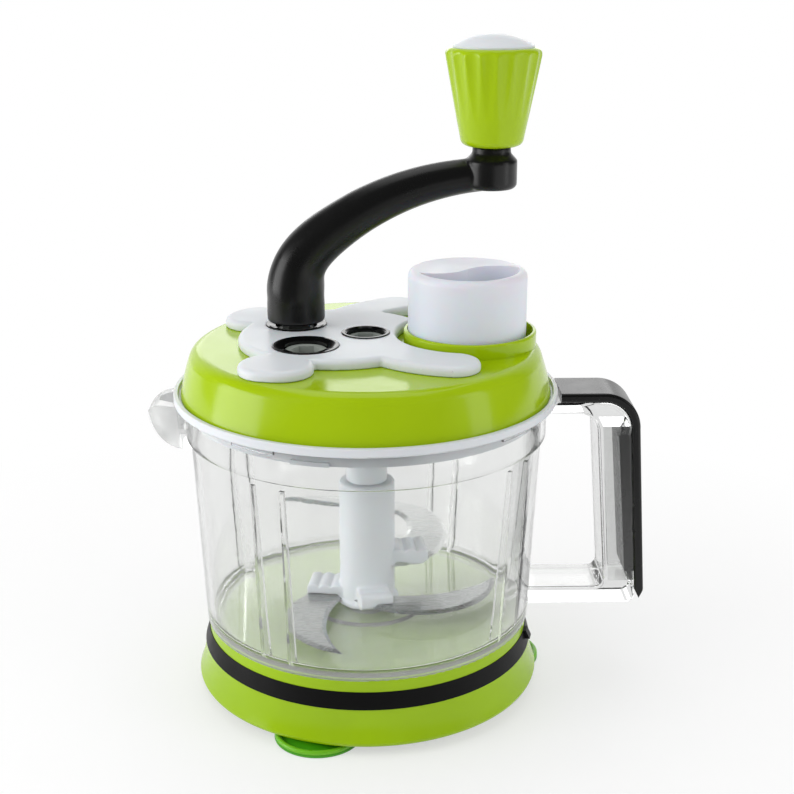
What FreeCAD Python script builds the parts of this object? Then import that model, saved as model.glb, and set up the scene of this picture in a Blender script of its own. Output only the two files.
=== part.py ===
import FreeCAD, Part
import math
import operator
import os
import Sketcher
from FreeCAD import Placement, Rotation, Vector

# Hand crank chopper. Millimetres and degrees, +Z up. The origin lies on the bowl axis in the plane of the
# table. The handle points along +X and the spout along -X. A height, reach or radius is given from the piece
# that it stands on, hangs from or fits, and the lines with above and below say which.

SIZES = {
    # suction feet
    "foot_circle": 15.2,
    "foot_angle": 10.0,
    "foot_radius": 19.2,
    "foot_edge": 1.0,
    "foot_wall": 1.4,
    "foot_waist_radius": 8.5,
    "foot_waist_height": 5.2,
    "foot_height": 9.5,
    "foot_stem_radius": 3.0,
    "foot_stem_length": 11.0,
    "foot_stem_fit": 0.05,
    # base
    "base_low": 4.0,
    "base_radius": 3.4,
    "base_round": 2.4,
    "base_flare": 42.0,
    "base_wall": 2.4,
    "base_neck_radius": 1.4,
    "base_top": 29.2,
    "base_boss_radius": 6.5,
    "seat_radius": 3.4,
    "seat_depth": 3.0,
    "deck_thick": 2.5,
    "band_low": 16.7,
    "band_high": 7.3,
    "band_low_radius": 1.9,
    "band_high_radius": 0.5,
    "band_thick": 1.7,
    "band_proud": 0.3,
    "tab_angle": -13.0,
    "tab_low": 3.3,
    "tab_width": 5.0,
    "tab_reach": 1.5,
    # bowl
    "bowl_foot_gap": 0.4,
    "bowl_foot_lift": 0.3,
    "bowl_foot_wall": 2.6,
    "bowl_low_radius": 74.3,
    "bowl_top_radius": 78.3,
    "bowl_wall": 2.5,
    "bowl_edge": 1.0,
    "bowl_corner": 5.0,
    "floor_thick": 2.0,
    "floor_boss_radius": 27.0,
    "floor_boss_rise": 1.3,
    "floor_hub_radius": 9.0,
    "step_height": 87.8,
    "step_slope": 0.9,
    "collar_radius": 80.3,
    "rim_height": 16.0,
    "rib_angle": -122.5,
    "rib_spread": 5.5,
    "rib_depth": 4.5,
    "rib_thick": 2.0,
    "rib_top": 4.0,
    "rail_angle": -134.5,
    "rail_sweep": 16.0,
    "rail_depth": 1.2,
    "rail_low": 4.0,
    "rail_high": 1.8,
    "spout_tip": 16.3,
    "spout_tip_height": 6.0,
    "spout_lip": 9.0,
    "spout_lip_height": 1.4,
    "spout_lip_curve": 9.0,
    "spout_low": 20.6,
    "spout_under_curve": 17.7,
    "spout_width": 30.0,
    "spout_nose": 7.0,
    "spout_side_curve": 22.0,
    "spout_floor": 12.5,
    "spout_wall": 2.3,
    # handle
    "handle_width": 26.0,
    "handle_top": 1.6,
    "handle_under": 4.8,
    "handle_outer_top": 32.4,
    "handle_outer_low": 37.8,
    "handle_corner": 12.5,
    "handle_inner_top": 17.6,
    "handle_inner_low": 23.0,
    "handle_inner_corner": 9.0,
    "handle_low_top": 8.3,
    "handle_low": 5.3,
    "handle_low_corner": 4.0,
    "handle_wall": 2.5,
    "handle_round": 1.2,
    "channel_top": 11.4,
    "grip_thick": 4.2,
    "grip_start": 0.8,
    "grip_low": 2.5,
    "grip_round": 1.4,
    "grip_tongue": 5.0,
    "grip_tongue_gap": 0.3,
    # blades
    "pin_radius": 3.0,
    "pin_low": 2.2,
    "pin_top": 26.0,
    "pin_fit": 0.06,
    "column_low": 0.5,
    "column_radius": 12.7,
    "column_top": 59.0,
    "column_flange_radius": 14.5,
    "column_flange_height": 2.0,
    "column_lift": 0.3,
    "clamp_reach": 27.5,
    "clamp_short_reach": 21.5,
    "clamp_width": 15.0,
    "clamp_under": 2.0,
    "clamp_over": 4.5,
    "clamp_knuckle": 5.5,
    "clamp_knuckle_radius": 3.3,
    "blade_thick": 1.2,
    "blade_bevel": 58.0,
    "blade_root": 11.0,
    "blade_root_half": 9.0,
    "blade_length": 10.8,
    "blade_back": 2.0,
    "blade_outer_curve": 36.7,
    "blade_inner_curve": 53.0,
    "blade_low_angle": 172.0,
    "blade_middle_angle": 282.0,
    "blade_upper_angle": 6.0,
    "blade_low_height": 2.4,
    "blade_middle_height": 4.5,
    "blade_upper_height": 20.5,
    "sickle_tilt": 11.0,
    "sickle_bend": 31.8,
    "sickle_bend_length": 38.7,
    "sickle_bend_curve": 27.9,
    "sickle_tip_back": 41.0,
    "sickle_tip_length": 19.8,
    "sickle_back_curve": 117.0,
    "sickle_heel": 18.0,
    "sickle_heel_length": 33.0,
    "sickle_heel_curve": 14.6,
    # gear train
    "gear_module": 1.25,
    "drive_teeth": 40,
    "fast_pinion_teeth": 16,
    "side_teeth": 31,
    "slow_pinion_teeth": 21,
    "gear_play": 0.4,
    "drive_angle": 153.0,
    "side_angle": 218.0,
    "lower_gear_low": 1.4,
    "upper_gear_low": 0.6,
    "gear_thick": 6.0,
    "hub_radius": 9.0,
    "hub_top": 2.6,
    "pinion_hub_radius": 8.0,
    "pinion_low": 0.3,
    "side_boss_radius": 5.0,
    "socket_flats": 11.1,
    "socket_floor": 0.2,
    "gear_pin_radius": 2.5,
    "gear_pin_top": 10.0,
    "gear_pin_fit": 0.05,
    "gear_seat_gap": 0.3,
    # drive spindle
    "spindle_radius": 9.2,
    "spindle_low": 0.6,
    "spindle_shoulder": 1.1,
    "spindle_journal_radius": 6.0,
    "spindle_peg_radius": 4.0,
    "spindle_peg_top": 10.0,
    "spindle_hex_flats": 12.0,
    "spindle_hex_length": 22.0,
    "spindle_hex_play": 0.4,
    "bush_radius": 8.0,
    "bush_fit": 0.06,
    "bush_low": 0.8,
    "bush_flange_radius": 10.0,
    "bush_flange_top": 0.6,
    "spindle_screw_radius": 1.6,
    "spindle_screw_low": 1.0,
    "spindle_screw_head_radius": 3.4,
    "spindle_screw_head": 2.0,
    # lid
    "ring_radius": 85.0,
    "ring_top": 4.0,
    "ring_round": 1.0,
    "ring_lip": 1.8,
    "ring_seat": 2.4,
    "plate_low": 1.0,
    "plate_thick": 2.6,
    "skirt_radius": 76.2,
    "skirt_wall": 2.6,
    "skirt_low": 6.5,
    "lug_angle": -113.0,
    "lug_sweep": 12.0,
    "lug_depth": 1.3,
    "lug_height": 1.8,
    "pin_boss_radius": 5.0,
    "cover_radius": 82.0,
    "cover_shoulder_radius": 77.6,
    "cover_shoulder_height": 4.35,
    "cover_bulge": 130.0,
    "cover_round": 6.4,
    "cover_flat_radius": 71.5,
    "cover_top": 7.5,
    "cover_wall": 2.2,
    "chute_offset": 6.2,
    "chute_collar_radius": 1.5,
    "chute_mouth_radius": 3.5,
    "chute_bore_radius": 24.2,
    "chute_wall": 2.2,
    "chute_rim": 6.3,
    "chute_ledge": 6.6,
    "chute_low": 7.5,
    "chute_gap": 0.4,
    "chute_fit": 0.05,
    "chute_skirt": 0.6,
    "hub_gap": 0.6,
    "screw_circle": 31.0,
    "screw_angle": 46.0,
    "screw_boss_radius": 4.0,
    "screw_radius": 1.45,
    "screw_depth": 10.0,
    "screw_head_radius": 2.8,
    "screw_head": 1.6,
    # gear cover and socket rings
    "gear_cover_offset": 13.0,
    "gear_cover_radius": 5.3,
    "gear_cover_thick": 4.5,
    "arm_gap": 3.0,
    "arm_width": 23.0,
    "arm_tip_curve": 11.8,
    "arm_tip_angle": -100.0,
    "arm_root_angle": -150.0,
    "back_arm_gap": 22.8,
    "back_arm_tip_angle": 118.0,
    "back_arm_root_angle": 150.0,
    "lobe_circle": 8.6,
    "front_lobe_angle": 242.2,
    "front_lobe_turn": -14.0,
    "back_lobe_angle": 138.1,
    "back_lobe_turn": 60.0,
    "back_lobe_inset": 2.5,
    "lobe_half": 2.0,
    "lobe_radius": 13.8,
    "crank_ring_radius": 13.6,
    "side_ring_radius": 14.2,
    "centre_ring_radius": 10.5,
    "ring_rise": 0.35,
    "centre_ring_rise": 0.5,
    "ring_edge": 0.3,
    "ring_land": 1.2,
    "ring_dish": 0.8,
    "ring_throat": 9.4,
    "centre_ring_throat": 8.4,
    # crank
    "crank_radius": 12.9,
    "crank_low": 1.45,
    "crank_bend_height": 14.4,
    "crank_bend_radius": 26.5,
    "crank_bend_angle": 48.0,
    "crank_sweep_radius": 122.0,
    "crank_sweep_angle": 34.0,
    "crank_tip_radius": 7.6,
    "crank_tip_rise": 6.3,
    "crank_tip_gap": 4.1,
    "crank_blend": 6.0,
    "crank_reach": 86.5,
    "crank_boss_radius": 11.3,
    "crank_boss_low": 44.8,
    "crank_boss_top": 12.4,
    "crank_neck_radius": 8.4,
    "crank_neck_top": 5.8,
    "crank_edge": 1.5,
    "peg_flats": 10.8,
    "peg_low": 0.3,
    "peg_top": 9.4,
    # knob
    "axle_radius": 3.2,
    "axle_fit": 0.08,
    "axle_low": 1.2,
    "axle_head_low": 8.4,
    "axle_head_radius": 6.5,
    "axle_head": 3.0,
    "knob_low": 0.4,
    "knob_low_radius": 13.9,
    "knob_waist_height": 11.6,
    "knob_waist_radius": 15.6,
    "knob_top_radius": 20.9,
    "knob_top": 41.8,
    "knob_round": 3.3,
    "knob_flutes": 18,
    "flute_radius": 8.0,
    "flute_depth": 0.45,
    "cap_radius": 17.5,
    "cap_low": 1.8,
    "cap_edge": 0.6,
    "cap_top": 4.7,
    # pusher
    "pusher_radius": 1.7,
    "pusher_top": 26.6,
    "pusher_round": 3.0,
    "pusher_play": 1.6,
    "pusher_shift": 1.3,
    "pusher_low": 3.0,
    "pusher_wall": 2.2,
    "pusher_lift": 0.3,
    "recess_angle": -78.0,
    "recess_radius": 2.6,
    "recess_depth": 8.0,
    "recess_edge": 2.0,
    "recess_curve": 16.0,
}

OPERATIONS = {"+": operator.add, "-": operator.sub, "*": operator.mul, "/": operator.truediv}


class Dim:
    """A length or angle that carries its number and the sheet expression behind it."""

    def __init__(self, value, text):
        self.value = float(value)
        self.text = text

    def __add__(self, other):
        return combine(self, "+", other)

    def __radd__(self, other):
        return combine(other, "+", self)

    def __sub__(self, other):
        return combine(self, "-", other)

    def __rsub__(self, other):
        return combine(other, "-", self)

    def __mul__(self, other):
        return combine(self, "*", other)

    def __rmul__(self, other):
        return combine(other, "*", self)

    def __truediv__(self, other):
        return combine(self, "/", other)

    def __neg__(self):
        return combine(0, "-", self)


def dim(number):
    return number if isinstance(number, Dim) else Dim(number, repr(float(number)))


def combine(first, sign, second):
    a = dim(first)
    b = dim(second)
    return Dim(OPERATIONS[sign](a.value, b.value), "(%s %s %s)" % (a.text, sign, b.text))


def cosine(angle):
    return Dim(math.cos(math.radians(dim(angle).value)), "cos(%s)" % dim(angle).text)


def arc_tangent(slope):
    return Dim(math.degrees(math.atan(dim(slope).value)), "atan(%s)" % dim(slope).text)


def sine(angle):
    return Dim(math.sin(math.radians(dim(angle).value)), "sin(%s)" % dim(angle).text)


def polar(radius, angle):
    return (dim(radius) * cosine(angle), dim(radius) * sine(angle))


def distance(spot):
    return Dim(math.hypot(spot[0].value, spot[1].value), "hypot(%s; %s)" % (spot[0].text, spot[1].text))


doc = FreeCAD.newDocument("chopper")
sheet = doc.addObject("Spreadsheet::Sheet", "Sizes")
for row, (alias, number) in enumerate(SIZES.items(), start=1):
    sheet.set("A%d" % row, alias)
    sheet.set("B%d" % row, str(number))
    sheet.setAlias("B%d" % row, alias)
doc.recompute()


class Size:
    """One Dim for every named cell of the sheet."""


size = Size()
for alias in SIZES:
    setattr(size, alias, Dim(sheet.get(alias), "Sizes.%s" % alias))

nodes = []


def above(datum, *names):
    """Sizes that are given upwards or outwards from a datum, turned into sizes from the origin."""
    for name in names:
        setattr(size, name, datum + getattr(size, name))


def below(datum, *names):
    """Sizes that are given downwards or inwards from a datum, turned into sizes from the origin."""
    for name in names:
        setattr(size, name, datum - getattr(size, name))


def keep(thing, name):
    thing.Label = name
    nodes.append(thing)
    return thing


def bind(thing, path, amount):
    thing.setExpression(path, dim(amount).text)


def place(thing, x=0, y=0, z=0, turn=0):
    """Put a sub-part at x, y, z and turn it about the vertical."""
    thing.Placement = Placement(Vector(0, 0, 0), Rotation(Vector(0, 0, 1), dim(turn).value))
    bind(thing, "Placement.Base.x", x)
    bind(thing, "Placement.Base.y", y)
    bind(thing, "Placement.Base.z", z)
    if isinstance(turn, Dim):
        bind(thing, "Placement.Rotation.Angle", turn)


def new_body(name):
    return keep(doc.addObject("PartDesign::Body", name), name)


def origin_plane(body, role):
    return [item for item in body.Origin.OriginFeatures if item.Role == role][0]


def new_sketch(body, role, x=0, z=0, turn=0):
    """Sketch on an upright or a level plane; x and z shift its origin, turn is about the vertical."""
    sketch = body.newObject("Sketcher::SketchObject", body.Name + "_sketch")
    sketch.AttachmentSupport = [(origin_plane(body, role), "")]
    sketch.MapMode = "FlatFace"
    axis = Vector(0, 0, 1) if role == "XY_Plane" else Vector(0, 1, 0)
    sketch.AttachmentOffset = Placement(Vector(0, 0, 0), Rotation(axis, dim(turn).value))
    if isinstance(turn, Dim):
        bind(sketch, "AttachmentOffset.Rotation.Angle", turn)
    bind(sketch, "AttachmentOffset.Base.x", x)
    bind(sketch, "AttachmentOffset.Base.z" if role == "XY_Plane" else "AttachmentOffset.Base.y", z)
    return sketch


def arc_centre(start, end, radius, turn):
    """Centre of the shorter arc from start to end; turn is 1 counterclockwise and -1 clockwise."""
    middle = (start + end) * 0.5
    along = end - start
    rise = math.sqrt(max(radius ** 2 - (along.Length / 2) ** 2, 0.0))
    across = Vector(-along.y, along.x, 0).normalize()
    return middle + across * (rise * turn)


def pin_point(sketch, geometry, end, u, v):
    """Fix one sketch point to its two coordinates."""
    for kind, axis, amount in (("DistanceX", -2, u), ("DistanceY", -1, v)):
        if dim(amount).value == 0:
            sketch.addConstraint(Sketcher.Constraint("PointOnObject", geometry, end, axis))
        else:
            number = sketch.addConstraint(
                Sketcher.Constraint(kind, -1, 1, geometry, end, dim(amount).value))
            bind(sketch, "Constraints[%d]" % number, amount)


def outline(sketch, corners):
    """Closed outline. A corner is (u, v), or (u, v, radius, turn) where an arc leads to the next corner."""
    points = [Vector(dim(corner[0]).value, dim(corner[1]).value, 0) for corner in corners]
    ends = []
    for number, corner in enumerate(corners):
        start = points[number]
        end = points[(number + 1) % len(points)]
        if len(corner) == 2:
            geometry = sketch.addGeometry(Part.LineSegment(start, end), False)
            ends.append((geometry, 1, 2))
            continue
        radius, turn = dim(corner[2]), corner[3]
        centre = arc_centre(start, end, radius.value, turn)
        first, last = (start, end) if turn > 0 else (end, start)
        circle = Part.Circle(centre, Vector(0, 0, 1), (start - centre).Length)
        angles = [math.atan2(p.y - centre.y, p.x - centre.x) for p in (first, last)]
        geometry = sketch.addGeometry(Part.ArcOfCircle(circle, angles[0], angles[1]), False)
        ends.append((geometry, 1, 2) if turn > 0 else (geometry, 2, 1))
    for number, corner in enumerate(corners):
        geometry, head, tail = ends[number]
        following, following_head, _ = ends[(number + 1) % len(ends)]
        sketch.addConstraint(Sketcher.Constraint("Coincident", geometry, tail, following, following_head))
        pin_point(sketch, geometry, head, corner[0], corner[1])
        if len(corner) > 2:
            constraint = sketch.addConstraint(
                Sketcher.Constraint("Radius", geometry, dim(corner[2]).value))
            bind(sketch, "Constraints[%d]" % constraint, corner[2])
    return sketch


def circle(sketch, u, v, radius):
    centre = Vector(dim(u).value, dim(v).value, 0)
    geometry = sketch.addGeometry(Part.Circle(centre, Vector(0, 0, 1), dim(radius).value), False)
    pin_point(sketch, geometry, 3, u, v)
    constraint = sketch.addConstraint(Sketcher.Constraint("Radius", geometry, dim(radius).value))
    bind(sketch, "Constraints[%d]" % constraint, radius)
    return sketch


def hexagon(flats):
    """Corners of a level hexagon with one corner on the u axis."""
    reach = flats / math.sqrt(3.0)
    return [polar(reach, 60 * side) for side in range(6)]


def feature(body, kind, sketch):
    thing = body.newObject("PartDesign::" + kind, body.Name + "_" + kind.lower())
    thing.Profile = sketch
    return thing


def revolve(body, sketch, kind="Revolution", sweep=360):
    thing = feature(body, kind, sketch)
    thing.ReferenceAxis = (sketch, ["V_Axis"])
    bind(thing, "Angle", sweep)
    return thing


def extrude(body, sketch, length, kind="Pad", both=False, down=False):
    """Pad or Pocket of one length. A level Pad grows upwards, a level Pocket cuts downwards; down flips it."""
    thing = feature(body, kind, sketch)
    if both:
        thing.SideType = "Symmetric"
    thing.Reversed = down
    bind(thing, "Length", length)
    return thing


def repeat(body, originals, sketch, count):
    """Copies evenly spaced about the normal of a level sketch."""
    thing = body.newObject("PartDesign::PolarPattern", body.Name + "_pattern")
    thing.Originals = originals
    thing.Axis = (sketch, ["N_Axis"])
    thing.Angle = 360
    thing.Occurrences = count
    body.Tip = thing
    return thing


def round_edges(body, radius, chosen):
    """Fillet every edge of the body that passes the test."""
    doc.recompute()
    tip = body.Tip
    names = ["Edge%d" % number for number, edge in enumerate(tip.Shape.Edges, start=1) if chosen(edge)]
    thing = body.newObject("PartDesign::Fillet", body.Name + "_fillet")
    thing.Base = (tip, names)
    bind(thing, "Radius", radius)
    return thing


def turned(name, corners):
    """A body of revolution about the vertical through its own origin."""
    body = new_body(name)
    revolve(body, outline(new_sketch(body, "XZ_Plane"), corners))
    return body


def middle_of(edge):
    return edge.valueAt((edge.FirstParameter + edge.LastParameter) / 2)


# Base: a flared shell with a deck for the bowl and three bosses for the feet.

above(size.base_low, "base_top", "band_low")
above(size.band_low, "band_high", "tab_low")
below(size.bowl_low_radius, "base_neck_radius", "seat_radius")
above(size.base_neck_radius, "band_high_radius")
above(size.band_high_radius, "band_low_radius")
above(size.band_low_radius, "base_radius")
below(size.base_radius, "foot_circle")
deck_top = size.base_top - size.seat_depth
deck_low = deck_top - size.deck_thick
groove_low = size.band_low_radius - size.band_thick
groove_high = size.band_high_radius - size.band_thick

base = turned("base_shell", [
    (size.base_radius - size.base_round, size.base_low, size.base_round, 1),
    (size.base_radius, size.base_low + size.base_round, size.base_flare, -1),
    (size.band_low_radius, size.band_low),
    (groove_low, size.band_low),
    (groove_high, size.band_high),
    (size.band_high_radius, size.band_high),
    (size.base_neck_radius, size.base_top),
    (size.seat_radius, size.base_top),
    (size.seat_radius, deck_top),
    (0, deck_top),
    (0, deck_low),
    (groove_high - size.base_wall, deck_low),
    (groove_low - size.base_wall, size.band_low),
    (size.base_radius - size.base_wall, size.base_low + size.base_round),
    (size.base_radius - size.base_round - size.base_wall / 2, size.base_low),
])
boss_sketch = circle(new_sketch(base, "XY_Plane", z=size.foot_height), size.foot_circle, 0,
                     size.base_boss_radius)
boss = extrude(base, boss_sketch, deck_low + size.deck_thick / 2 - size.foot_height)
stem_hole = extrude(
    base,
    circle(new_sketch(base, "XY_Plane", z=size.foot_height), size.foot_circle, 0,
           size.foot_stem_radius + size.foot_stem_fit),
    size.foot_stem_length + size.gear_seat_gap, "Pocket", down=True)
repeat(base, [boss, stem_hole], boss_sketch, 3)
place(base, turn=size.foot_angle)

band = turned("base_band", [
    (groove_low, size.band_low),
    (size.band_low_radius + size.band_proud, size.band_low),
    (size.band_high_radius + size.band_proud, size.band_high),
    (groove_high, size.band_high),
])
extrude(band, outline(new_sketch(band, "XZ_Plane"), [
    (size.band_high_radius, size.tab_low),
    (size.band_low_radius + size.tab_reach, size.tab_low),
    (size.band_high_radius + size.tab_reach, size.band_high),
    (size.band_high_radius - size.band_proud, size.band_high),
]), size.tab_width, both=True)
place(band, turn=size.tab_angle)

for number, name in enumerate(("suction_foot_right", "suction_foot_back", "suction_foot_front")):
    foot = turned(name, [
        (size.foot_radius - size.foot_wall, 0),
        (size.foot_radius, 0),
        (size.foot_radius, size.foot_edge),
        ((size.foot_radius + size.foot_waist_radius) / 2 - size.foot_wall, size.foot_edge * 3.1),
        (size.foot_waist_radius, size.foot_waist_height),
        (size.foot_waist_radius, size.foot_height),
        (size.foot_stem_radius, size.foot_height),
        (size.foot_stem_radius, size.foot_height + size.foot_stem_length),
        (0, size.foot_height + size.foot_stem_length),
        (0, size.foot_edge * 3),
        (size.foot_waist_radius, size.foot_edge * 2.4),
    ])
    spot = polar(size.foot_circle, size.foot_angle + 120 * number)
    place(foot, spot[0], spot[1])

# Bowl: floor, tapering wall, collar, ribs, spout and handle channel in one clear moulding.

above(size.base_top, "step_height", "handle_low")
above(size.step_height, "rim_height")
below(size.step_height, "rib_top")
below(size.rim_height, "rail_low", "rail_high", "handle_top")
below(size.rim_height, "spout_low", "spout_floor", "spout_tip_height", "spout_lip_height")
above(size.collar_radius, "spout_tip", "spout_lip")
below(size.handle_top, "handle_under", "channel_top")
above(size.handle_low, "handle_low_top", "grip_low")
above(size.ring_radius, "grip_start", "handle_inner_top", "handle_inner_low")
above(size.ring_radius, "handle_outer_top", "handle_outer_low")
below(size.base_top, "pin_low")
above(size.pin_low, "pin_top")
bowl_low = size.base_top
floor_top = bowl_low + size.floor_thick
boss_top = floor_top + size.floor_boss_rise
bowl_foot_low = deck_top + size.bowl_foot_lift
bowl_foot_radius = size.seat_radius - size.bowl_foot_gap
inner_low = size.bowl_low_radius - size.bowl_wall
inner_top = size.bowl_top_radius - size.bowl_wall
collar_inner = size.collar_radius - size.bowl_wall

bowl = turned("bowl", [
    (0, bowl_foot_low),
    (bowl_foot_radius, bowl_foot_low),
    (bowl_foot_radius, bowl_low),
    (size.bowl_low_radius - size.bowl_edge, bowl_low, size.bowl_edge, 1),
    (size.bowl_low_radius, bowl_low + size.bowl_edge),
    (size.bowl_top_radius, size.step_height),
    (size.collar_radius, size.step_height + size.step_slope),
    (size.collar_radius, size.rim_height),
    (0, size.rim_height),
])
revolve(bowl, outline(new_sketch(bowl, "XZ_Plane"), [
    (size.floor_hub_radius, bowl_foot_low),
    (bowl_foot_radius - size.bowl_foot_wall, bowl_foot_low),
    (bowl_foot_radius - size.bowl_foot_wall, bowl_low),
    (size.floor_hub_radius, bowl_low),
]), "Groove")

handle_root = inner_low - size.bowl_wall
handle_sketch = outline(new_sketch(bowl, "XZ_Plane"), [
    (handle_root, size.handle_low),
    (size.handle_outer_low - size.handle_low_corner, size.handle_low, size.handle_low_corner, 1),
    (size.handle_outer_low, size.handle_low + size.handle_low_corner),
    (size.handle_outer_top, size.handle_top - size.handle_corner, size.handle_corner, 1),
    (size.handle_outer_top - size.handle_corner, size.handle_top),
    (handle_root, size.handle_top),
])
outline(handle_sketch, [
    (handle_root + 1, size.handle_low_top),
    (size.handle_inner_low - size.handle_low_corner, size.handle_low_top, size.handle_low_corner, 1),
    (size.handle_inner_low, size.handle_low_top + size.handle_low_corner),
    (size.handle_inner_top, size.handle_under - size.handle_inner_corner, size.handle_inner_corner, 1),
    (size.handle_inner_top - size.handle_inner_corner, size.handle_under),
    (handle_root + 1, size.handle_under),
])
extrude(bowl, handle_sketch, size.handle_width, both=True)
channel_low = size.handle_low_top + size.handle_wall
extrude(bowl, outline(new_sketch(bowl, "XZ_Plane"), [
    (size.handle_inner_low + size.handle_wall, channel_low),
    (size.handle_outer_low + size.grip_thick, channel_low),
    (size.handle_outer_low + size.grip_thick, size.channel_top),
    (size.handle_inner_top + size.handle_wall, size.channel_top),
]), size.handle_width - 2 * size.handle_wall, "Pocket", both=True)

extrude(bowl, outline(new_sketch(bowl, "XZ_Plane"), [
    (-inner_top, size.rim_height),
    (-inner_top, size.spout_low),
    (-size.bowl_top_radius + size.bowl_edge, size.spout_low, size.spout_under_curve, -1),
    (-size.spout_tip, size.spout_tip_height, size.spout_lip_curve, -1),
    (-size.spout_lip, size.spout_lip_height),
    (-size.collar_radius, size.rim_height - size.spout_wall / 2),
    (-size.collar_radius, size.rim_height),
]), size.spout_width, both=True)
spout_cut = outline(new_sketch(bowl, "XY_Plane", z=size.rim_height), [
    (-size.collar_radius - size.step_slope, size.spout_width / 2, size.spout_side_curve, 1),
    (-size.spout_tip - 1, size.spout_nose / 2),
    (-size.spout_tip - 1, size.spout_width),
    (-size.collar_radius - size.step_slope, size.spout_width),
])
outline(spout_cut, [
    (-size.collar_radius - size.step_slope, -size.spout_width / 2),
    (-size.collar_radius - size.step_slope, -size.spout_width),
    (-size.spout_tip - 1, -size.spout_width),
    (-size.spout_tip - 1, -size.spout_nose / 2, size.spout_side_curve, 1),
])
extrude(bowl, spout_cut, size.rim_height - size.spout_low + size.spout_wall, "Pocket")

revolve(bowl, outline(new_sketch(bowl, "XZ_Plane"), [
    (0, boss_top),
    (size.floor_boss_radius - size.floor_boss_rise, boss_top),
    (size.floor_boss_radius, floor_top),
    (inner_low - size.bowl_corner, floor_top, size.bowl_corner, 1),
    (inner_low, floor_top + size.bowl_corner),
    (inner_top, size.step_height - size.step_slope),
    (collar_inner, size.step_height),
    (collar_inner, size.rim_height + 1),
    (0, size.rim_height + 1),
]), "Groove")
extrude(bowl, outline(new_sketch(bowl, "XY_Plane", z=size.rim_height), [
    (-inner_low, -size.spout_width / 2 + 2 * size.spout_wall),
    (-inner_low, size.spout_width / 2 - 2 * size.spout_wall),
    (-size.collar_radius, size.spout_width / 2 - 2 * size.spout_wall, size.spout_side_curve, 1),
    (-size.spout_tip + 2 * size.spout_wall, size.spout_nose / 2 - size.spout_wall / 2),
    (-size.spout_tip + 2 * size.spout_wall, -size.spout_nose / 2 + size.spout_wall / 2,
     size.spout_side_curve, 1),
    (-size.collar_radius, -size.spout_width / 2 + 2 * size.spout_wall),
]), size.rim_height - size.spout_floor, "Pocket")

ribs = []
for side in (-1, 1):
    rib_sketch = outline(new_sketch(bowl, "XZ_Plane", turn=size.rib_angle + side * size.rib_spread), [
        (inner_low - size.rib_depth, floor_top - size.bowl_edge),
        (inner_low + size.bowl_edge, floor_top - size.bowl_edge),
        (inner_top + size.bowl_edge / 2, size.rib_top),
        (inner_top - size.rib_depth / 3, size.rib_top),
    ])
    ribs.append(extrude(bowl, rib_sketch, size.rib_thick, both=True))
rail_sketch = outline(new_sketch(bowl, "XZ_Plane", turn=size.rail_angle), [
    (collar_inner - size.rail_depth, size.rail_low),
    (collar_inner + size.bowl_edge, size.rail_low),
    (collar_inner + size.bowl_edge, size.rail_high),
    (collar_inner - size.rail_depth, size.rail_high),
])
rail = revolve(bowl, rail_sketch, sweep=size.rail_sweep)
repeat(bowl, ribs + [rail], spout_cut, 4)
extrude(bowl, circle(new_sketch(bowl, "XY_Plane", z=boss_top), 0, 0, size.pin_radius),
        boss_top - size.pin_low, "Pocket")


def handle_edge(edge):
    """Long edges of the finger opening and of the lower arm."""
    spot = middle_of(edge)
    on_side = abs(abs(spot.y) - size.handle_width.value / 2) < 0.01
    clear = spot.x > size.collar_radius.value + 1 and edge.Length > size.handle_low_corner.value
    opening = size.handle_low_top.value - 0.01 < spot.z < size.handle_under.value + 0.01
    inward = spot.x < size.handle_inner_low.value + 0.01
    below = spot.z < size.handle_low.value + 0.01
    return on_side and clear and ((opening and inward) or below)


round_edges(bowl, size.handle_round, handle_edge)

grip = new_body("handle_grip")
grip_top = size.handle_top + size.grip_thick
grip_corner = size.handle_corner + size.grip_thick
outer_slope = (size.handle_outer_low - size.handle_outer_top) / (
    size.handle_top - size.handle_corner - size.handle_low - size.handle_low_corner)
grip_low_inner = size.handle_outer_low - outer_slope * (
    size.grip_low + size.grip_thick - size.handle_low - size.handle_low_corner)
extrude(grip, outline(new_sketch(grip, "XZ_Plane"), [
    (size.grip_start, size.handle_top),
    (size.handle_outer_top - size.handle_corner, size.handle_top, size.handle_corner, -1),
    (size.handle_outer_top, size.handle_top - size.handle_corner),
    (grip_low_inner, size.grip_low + size.grip_thick),
    (grip_low_inner + size.grip_thick / 2, size.grip_low),
    (grip_low_inner + size.grip_thick, size.grip_low + size.grip_thick),
    (size.handle_outer_top + size.grip_thick, size.handle_top - size.handle_corner, grip_corner, 1),
    (size.handle_outer_top - size.handle_corner, grip_top),
    (size.grip_start, grip_top),
]), size.handle_width, both=True)
tongue_low = channel_low + size.grip_thick
tongue_high = size.handle_top - size.handle_corner - size.grip_thick
extrude(grip, outline(new_sketch(grip, "XZ_Plane"), [
    (size.handle_outer_low - size.grip_tongue, tongue_low),
    (size.handle_outer_low + size.grip_thick / 2, tongue_low),
    (size.handle_outer_top + size.grip_thick / 2, tongue_high),
    (size.handle_outer_top - size.grip_tongue, tongue_high),
]), size.handle_width - 2 * (size.handle_wall + size.grip_tongue_gap), both=True)


def grip_outer_edge(edge):
    """Long side edges on the outer face of the grip."""
    spot = middle_of(edge)
    on_side = abs(abs(spot.y) - size.handle_width.value / 2) < 0.01
    over = spot.z > size.handle_top.value + size.grip_thick.value / 2
    beside = spot.x > size.handle_outer_low.value + size.grip_thick.value / 3
    corner = Vector(size.handle_outer_top.value - size.handle_corner.value, 0,
                    size.handle_top.value - size.handle_corner.value)
    bend = (Vector(spot.x, 0, spot.z) - corner).Length > size.handle_corner.value + size.grip_thick.value / 2
    return on_side and edge.Length > 2 * size.grip_thick.value and (over or beside or bend)


round_edges(grip, size.grip_round, grip_outer_edge)

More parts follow.
